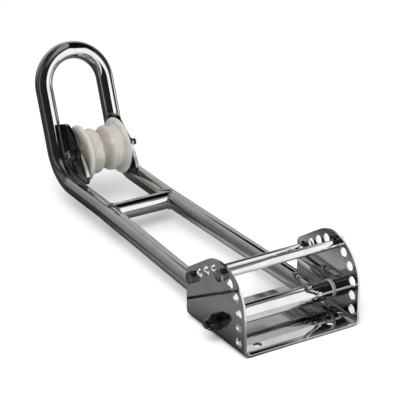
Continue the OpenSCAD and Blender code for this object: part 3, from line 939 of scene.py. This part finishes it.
def card(name, corners, material):
    """Studio card that only shows in reflections. Corners in metres."""
    mesh = bpy.data.meshes.new(name)
    mesh.from_pydata(corners, [], [tuple(range(len(corners)))])
    mesh.materials.append(material)
    piece = bpy.data.objects.new(name, mesh)
    bpy.context.scene.collection.objects.link(piece)
    for ray in ("camera", "diffuse", "shadow", "transmission", "volume_scatter"):
        setattr(piece, f"visible_{ray}", False)
    return piece


# White wall to starboard, taller at its inboard end and fading out towards the roller, in metres
WALL_Y = -0.27
WALL_START = -3
WALL_FADE_FROM = 0.13
WALL_END = 0.31
WALL_FOOT = -0.02
WALL_TOP = 0.42
TALL_WALL_END = -0.02
TALL_WALL_TOP = 0.58
white_card = emitter("white_card", 1.22, fade=(WALL_FADE_FROM, WALL_END))
black_card = emitter("black_card", 0.004)
card("white_wall", upright(WALL_Y, WALL_START, WALL_END, WALL_FOOT, WALL_TOP), white_card)
card("tall_wall", upright(WALL_Y, WALL_START, TALL_WALL_END, WALL_TOP, TALL_WALL_TOP), white_card)
# Dark card above the roller, and a dark strip on the floor that the port cheek reflects as a line
card("dark_ceiling", [(0.17, -0.42, WALL_TOP), (0.65, -0.42, WALL_TOP), (0.65, -0.1, WALL_TOP),
                      (0.17, -0.1, WALL_TOP)], black_card)
STRIP_UP = 0.002
card("dark_strip", [(0.09, 0.09, STRIP_UP), (0.096, 0.094, STRIP_UP), (0.08, 0.16, STRIP_UP),
                    (0.074, 0.156, STRIP_UP)], black_card)


def maths(nodes, links, operation, a, b=None):
    node = nodes.new("ShaderNodeMath")
    node.operation = operation
    for socket, value in zip(node.inputs, (a, b)):
        if isinstance(value, (int, float)):
            socket.default_value = value
        elif value is not None:
            links.new(value, socket)
    return node.outputs[0]


# Brightness of the studio that the steel reflects, by azimuth in degrees from +X towards port
ROUND_ABOUT = ((-180, 0.015), (-104, 0.03), (-76, 0.05), (-60, 0.16), (-46, 0.4), (-36, 0.5), (-12, 0.34),
               (2, 0.48), (18, 0.34), (32, 0.26), (46, 0.1), (62, 0.12), (76, 0.03), (84, 0.06), (90, 0.2),
               (96, 0.07), (102, 0.15), (108, 0.02), (180, 0.015))
OVERHEAD = ((-180, 0.3), (-50, 0.3), (-10, 0.1), (25, 0.03), (130, 0.03), (180, 0.3))
# Elevations between which the view round about gives way to the view overhead
OVERHEAD_FROM = math.radians(40)
OVERHEAD_FULL = math.radians(58)


def by_azimuth(nodes, links, turn, stops):
    return ramp(nodes, links, turn, [((degrees + 180) / 360, value) for degrees, value in stops])


def build_world():
    """Even white light, and for reflections a studio that is brighter on some sides than on others."""
    world = bpy.data.worlds.new("studio")
    bpy.context.scene.world = world
    world.use_nodes = True
    nodes, links = world.node_tree.nodes, world.node_tree.links
    nodes.clear()
    way = nodes.new("ShaderNodeTexCoord").outputs["Generated"]
    split = nodes.new("ShaderNodeSeparateXYZ")
    links.new(way, split.inputs[0])
    azimuth = maths(nodes, links, "ARCTAN2", split.outputs["Y"], split.outputs["X"])
    turn = maths(nodes, links, "ADD", maths(nodes, links, "DIVIDE", azimuth, 2 * math.pi), 0.5)
    height = maths(nodes, links, "ARCSINE", split.outputs["Z"])
    share = remap(nodes, links, height, OVERHEAD_FROM, OVERHEAD_FULL, smooth=True)
    mixed = nodes.new("ShaderNodeMix")
    mixed.data_type = "RGBA"
    links.new(share, mixed.inputs["Factor"])
    links.new(by_azimuth(nodes, links, turn, ROUND_ABOUT), mixed.inputs["A"])
    links.new(by_azimuth(nodes, links, turn, OVERHEAD), mixed.inputs["B"])
    studio = nodes.new("ShaderNodeBackground")
    links.new(mixed.outputs["Result"], studio.inputs["Color"])
    plain = nodes.new("ShaderNodeBackground")
    plain.inputs["Color"].default_value = (1, 1, 1, 1)
    plain.inputs["Strength"].default_value = 0.92
    chosen = nodes.new("ShaderNodeMixShader")
    rays = nodes.new("ShaderNodeLightPath")
    links.new(rays.outputs["Is Glossy Ray"], chosen.inputs["Fac"])
    links.new(plain.outputs[0], chosen.inputs[1])
    links.new(studio.outputs[0], chosen.inputs[2])
    links.new(chosen.outputs[0], nodes.new("ShaderNodeOutputWorld").inputs["Surface"])


# Brightness of the floor that the steel reflects, and the lines in metres between which it changes
FLOOR_LIGHT = 1.1
FLOOR_PORT_GREY = 0.24
FLOOR_OUTBOARD_SHARE = 0.2
PORT_LINE = (0.06, -0.16)
OUTBOARD_LINE = (0.22, 0.36)
INBOARD_LINE = (0.05, 0.12)
INBOARD_WAY = (-0.85, -0.5)
FLOOR_SIZE = 12


def build_floor():
    """Plain pale floor. Reflections see it light to starboard and inboard, else grey, dark under the part."""
    material, nodes, links, shader = new_material("pale_floor")
    shader.inputs["Base Color"].default_value = (0.96, 0.96, 0.96, 1)
    shader.inputs["Roughness"].default_value = 0.9
    shader.inputs["Specular IOR Level"].default_value = 0.0
    place = place_of(nodes, links)
    # Painted light and shade for glossy rays: the floor glows, light to starboard and inboard, grey to port
    # and outboard
    lit = remap(nodes, links, place.outputs["Y"], *PORT_LINE, FLOOR_PORT_GREY, FLOOR_LIGHT)
    outboard = remap(nodes, links, place.outputs["X"], *OUTBOARD_LINE, 1, FLOOR_OUTBOARD_SHARE)
    starboard = maths(nodes, links, "MULTIPLY", lit, outboard)
    past = maths(nodes, links, "ADD", maths(nodes, links, "MULTIPLY", place.outputs["X"], INBOARD_WAY[0]),
                 maths(nodes, links, "MULTIPLY", place.outputs["Y"], INBOARD_WAY[1]))
    inboard = remap(nodes, links, past, *INBOARD_LINE, 0, FLOOR_LIGHT)
    lightest = maths(nodes, links, "MAXIMUM", starboard, inboard)
    # Painted shade: occlusion darkens that glow under the part, standing in for its shadow
    shade = nodes.new("ShaderNodeAmbientOcclusion")
    shade.samples = 6
    shade.inputs["Distance"].default_value = 0.05
    dark = maths(nodes, links, "POWER", shade.outputs["AO"], 2.5)
    glow = nodes.new("ShaderNodeEmission")
    links.new(maths(nodes, links, "MULTIPLY", lightest, dark), glow.inputs["Strength"])
    chosen = nodes.new("ShaderNodeMixShader")
    rays = nodes.new("ShaderNodeLightPath")
    links.new(rays.outputs["Is Glossy Ray"], chosen.inputs["Fac"])
    links.new(shader.outputs[0], chosen.inputs[1])
    links.new(glow.outputs[0], chosen.inputs[2])
    links.new(chosen.outputs[0], nodes["Material Output"].inputs["Surface"])
    mesh = bpy.data.meshes.new("floor")
    corners = [(x * FLOOR_SIZE, y * FLOOR_SIZE, cad_low.z) for x, y in ((-1, -1), (1, -1), (1, 1), (-1, 1))]
    mesh.from_pydata(corners, [], [(0, 1, 2, 3)])
    mesh.materials.append(material)
    floor = bpy.data.objects.new("floor", mesh)
    bpy.context.scene.collection.objects.link(floor)


def softbox(name, place, target, size, power):
    """Large area light that lights the floor and the nylon but doesn't show in reflections."""
    data = bpy.data.lights.new(name, "AREA")
    data.shape = "SQUARE"
    data.size = size
    data.energy = power
    lamp = bpy.data.objects.new(name, data)
    lamp.location = place
    lamp.rotation_euler = (Vector(target) - Vector(place)).to_track_quat("-Z", "Y").to_euler()
    lamp.visible_glossy = False
    bpy.context.scene.collection.objects.link(lamp)


build_world()
build_floor()
softbox("key_light", (-0.35, 0.6, 1.15), (cad_low + cad_high) / 2, 1.1, 13)


# Where the camera stands, and the point it is aimed at as shares of the part's box
CAMERA_AZIMUTH = math.radians(238.83)
CAMERA_ELEVATION = math.radians(23.72)
CAMERA_ROLL = math.radians(-0.4)
CAMERA_BACK = 1.994
CAMERA_LENS = 161.7
AIM_SHARES = (0.3189, 0.6127, 0.5743)


def build_camera():
    """Camera at the photograph's angle."""
    aim = Vector([low + share * (high - low) for low, high, share in zip(cad_low, cad_high, AIM_SHARES)])
    level = math.cos(CAMERA_ELEVATION)
    back = Vector((math.sin(CAMERA_AZIMUTH) * level, -math.cos(CAMERA_AZIMUTH) * level,
                   math.sin(CAMERA_ELEVATION)))
    data = bpy.data.cameras.new("camera")
    data.lens = CAMERA_LENS
    data.sensor_width = 36
    camera = bpy.data.objects.new("camera", data)
    camera.location = aim + back * CAMERA_BACK
    camera.rotation_mode = "QUATERNION"
    facing = (-back).to_track_quat("-Z", "Y")
    camera.rotation_quaternion = facing @ Matrix.Rotation(CAMERA_ROLL, 3, "Z").to_quaternion()
    bpy.context.scene.collection.objects.link(camera)
    bpy.context.scene.camera = camera


build_camera()
bpy.context.scene.view_settings.view_transform = "Standard"
